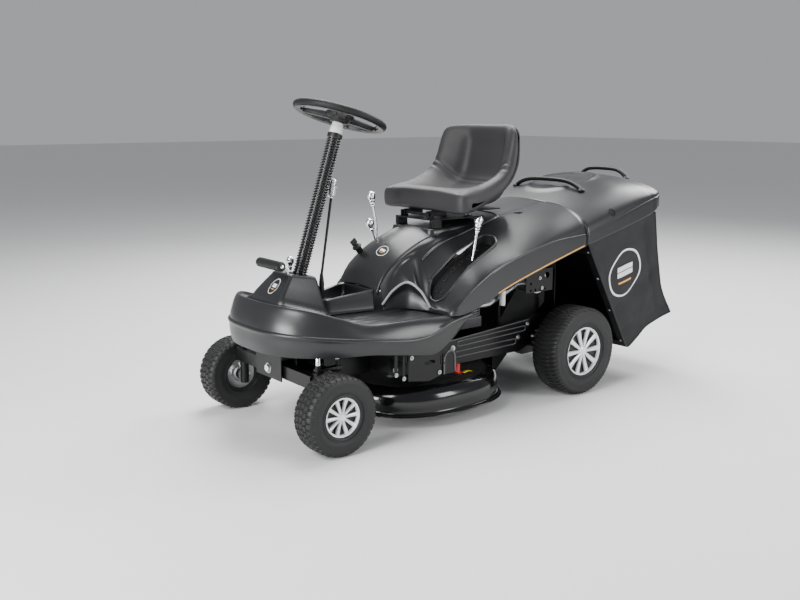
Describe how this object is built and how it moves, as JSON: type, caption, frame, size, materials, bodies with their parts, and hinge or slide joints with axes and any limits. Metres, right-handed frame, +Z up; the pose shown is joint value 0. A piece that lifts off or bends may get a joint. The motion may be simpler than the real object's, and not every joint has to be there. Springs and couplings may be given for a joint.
{
  "type": "riding lawn mower",
  "caption": "Compact rear-collecting ride-on mower: open front platform, tall steering column, arched hood with seat, mid-mounted cutting deck and tipping grass collector.",
  "frame": {"origin": "centre of the footprint's bounding box, on the ground", "axes": "+Z up, -Y is the front of the mower, +Y its rear, +X the seated driver's left"},
  "size_m": [0.744, 1.783, 1.0839],
  "materials": {
    "body_plastic": "satin moulded, fine grain",
    "trim_plastic": "matt moulded",
    "soft_grip": "matt",
    "bellows_plastic": "gloss corrugated",
    "collar_plastic": "satin",
    "frame_steel": "satin powder coat",
    "deck_gloss": "gloss enamel",
    "bare_steel": "machined",
    "chrome": "polished",
    "engine_alloy": "cast",
    "tank_plastic": "translucent white",
    "wheel_silver": "silver lacquer",
    "tyre_rubber": "matt",
    "seat_vinyl": "grained vinyl",
    "bag_fabric": "woven",
    "port_red": "gloss"
  },
  "bodies": {
    "chassis": {"front_platform": "body_plastic", "steering_pedestal": "body_plastic", "centre_tunnel": "body_plastic", "hood": "body_plastic", "console_panel": "body_plastic", "ignition_barrel": "trim_plastic", "seat_bracket": "frame_steel", "seat_springs": "bare_steel", "column_bellows": "bellows_plastic", "column_collar": "collar_plastic", "left_chassis_rail": "frame_steel", "right_chassis_rail": "frame_steel", "front_subframe": "frame_steel", "axle_pivot_bolt": "chrome", "rear_plate": "frame_steel", "transaxle": "engine_alloy", "engine": "engine_alloy", "muffler": "bare_steel", "muffler_guard": "frame_steel", "fuel_tank": "tank_plastic", "battery": "trim_plastic", "discharge_chute": "trim_plastic", "lever_bracket": "frame_steel", "height_quadrant": "trim_plastic"},
    "front_axle": {"front_axle_beam": "frame_steel"},
    "left_kingpin": {"left_spindle": "chrome"},
    "right_kingpin": {"right_spindle": "chrome"},
    "track_rod": {"tie_rod": "bare_steel"},
    "front_left_wheel": {"front_left_tyre": "tyre_rubber", "front_left_rim": "wheel_silver"},
    "front_right_wheel": {"front_right_tyre": "tyre_rubber", "front_right_rim": "wheel_silver"},
    "rear_left_wheel": {"rear_left_tyre": "tyre_rubber", "rear_left_rim": "wheel_silver"},
    "rear_right_wheel": {"rear_right_tyre": "tyre_rubber", "rear_right_rim": "wheel_silver"},
    "steering": {"steering_shaft": "bare_steel", "steering_wheel": "soft_grip"},
    "blade_control": {"blade_lever": "trim_plastic", "blade_lever_grip": "chrome"},
    "pedal": {"brake_pedal": "chrome", "pedal_pad": "soft_grip"},
    "parking_brake": {"parking_brake_knob": "chrome"},
    "gear_control": {"gear_lever": "chrome"},
    "throttle_control": {"throttle_lever": "chrome"},
    "key": {"ignition_key": "trim_plastic"},
    "height_control": {"height_lever": "chrome", "height_lever_knob": "chrome"},
    "deck": {"cutting_deck": "deck_gloss", "washout_port": "port_red"},
    "blade": {"blade_spindle": "bare_steel", "mower_blade": "bare_steel"},
    "engine_drive": {"engine_pulley": "bare_steel"},
    "seat_unit": {"seat": "seat_vinyl", "seat_pan": "frame_steel"},
    "collector": {"collector_lid": "body_plastic", "collector_bag": "bag_fabric", "collector_frame": "frame_steel", "lid_front_handle": "trim_plastic", "lid_rear_handle": "trim_plastic"}
  },
  "joints": [
    {"name": "axle_swing", "type": "hinge", "parent": "chassis", "child": "front_axle", "pos_m": [0, -0.7795, 0.216], "axis": [0, 1, 0], "range_deg": [-5, 5]},
    {"name": "left_steer", "type": "hinge", "parent": "front_axle", "child": "left_kingpin", "pos_m": [0.236, -0.7695, 0.216], "axis": [0, 0, 1], "range_deg": [-25, 25]},
    {"name": "right_steer", "type": "hinge", "parent": "front_axle", "child": "right_kingpin", "pos_m": [-0.236, -0.7695, 0.216], "axis": [0, 0, 1], "range_deg": [-25, 25]},
    {"name": "track_rod_pin", "type": "hinge", "parent": "left_kingpin", "child": "track_rod", "pos_m": [0.236, -0.6975, 0.233], "axis": [0, 0, 1], "range_deg": [-25, 25]},
    {"name": "front_left_spin", "type": "hinge", "parent": "left_kingpin", "child": "front_left_wheel", "pos_m": [0.3145, -0.7595, 0.127], "axis": [1, 0, 0], "continuous": true},
    {"name": "front_right_spin", "type": "hinge", "parent": "right_kingpin", "child": "front_right_wheel", "pos_m": [-0.3145, -0.7595, 0.127], "axis": [1, 0, 0], "continuous": true},
    {"name": "rear_left_spin", "type": "hinge", "parent": "chassis", "child": "rear_left_wheel", "pos_m": [0.3085, 0.3245, 0.165], "axis": [1, 0, 0], "continuous": true},
    {"name": "rear_right_spin", "type": "hinge", "parent": "chassis", "child": "rear_right_wheel", "pos_m": [-0.3085, 0.3245, 0.165], "axis": [1, 0, 0], "continuous": true},
    {"name": "steering_turn", "type": "hinge", "parent": "chassis", "child": "steering", "pos_m": [0, -0.6845, 0.507], "axis": [0, 0.3131, 0.9497], "range_deg": [-70, 70]},
    {"name": "blade_lever_pull", "type": "hinge", "parent": "chassis", "child": "blade_control", "pos_m": [0, -0.5975, 0.392], "axis": [1, 0, 0], "range_deg": [-30, 0]},
    {"name": "pedal_press", "type": "hinge", "parent": "chassis", "child": "pedal", "pos_m": [0.038, -0.6875, 0.44], "axis": [1, 0, 0], "range_deg": [0, 20], "stiffness_Nm_per_rad": 5, "springref_deg": -17.19},
    {"name": "parking_brake_pull", "type": "slide", "parent": "chassis", "child": "parking_brake", "axis": [0, 0, 1], "range_m": [0, 0.02]},
    {"name": "gear_shift", "type": "hinge", "parent": "chassis", "child": "gear_control", "pos_m": [-0.11, -0.2835, 0.548], "axis": [1, 0, 0], "range_deg": [-12, 12]},
    {"name": "throttle_set", "type": "hinge", "parent": "chassis", "child": "throttle_control", "pos_m": [-0.084, -0.3055, 0.548], "axis": [1, 0, 0], "range_deg": [-15, 15]},
    {"name": "key_turn", "type": "hinge", "parent": "chassis", "child": "key", "pos_m": [-0.08, -0.3963, 0.5759], "axis": [0, -0.6198, 0.7848], "range_deg": [0, 80]},
    {"name": "height_set", "type": "hinge", "parent": "chassis", "child": "height_control", "pos_m": [0.214, -0.1425, 0.345], "axis": [1, 0, 0], "range_deg": [0, 45]},
    {"name": "deck_lift", "type": "slide", "parent": "chassis", "child": "deck", "axis": [0, 0, 1], "range_m": [-0.031, 0]},
    {"name": "blade_spin", "type": "hinge", "parent": "deck", "child": "blade", "pos_m": [0, -0.2475, 0.1], "axis": [0, 0, 1], "continuous": true},
    {"name": "engine_spin", "type": "hinge", "parent": "chassis", "child": "engine_drive", "pos_m": [0, -0.1075, 0.21], "axis": [0, 0, 1], "continuous": true},
    {"name": "seat_tilt", "type": "hinge", "parent": "chassis", "child": "seat_unit", "pos_m": [0, -0.1835, 0.683], "axis": [1, 0, 0], "range_deg": [0, 45]},
    {"name": "collector_tip", "type": "hinge", "parent": "chassis", "child": "collector", "pos_m": [0, 0.3485, 0.704], "axis": [1, 0, 0], "range_deg": [0, 70]}
  ],
  "couplings": [
    {"joint": "left_steer", "follows": "steering_turn", "ratio": 0.35714},
    {"joint": "right_steer", "follows": "steering_turn", "ratio": 0.35714},
    {"joint": "track_rod_pin", "follows": "steering_turn", "ratio": -0.35714},
    {"joint": "deck_lift", "follows": "height_set", "m_per_rad": -0.0382},
    {"joint": "engine_spin", "follows": "blade_spin", "ratio": 1.4583}
  ]
}
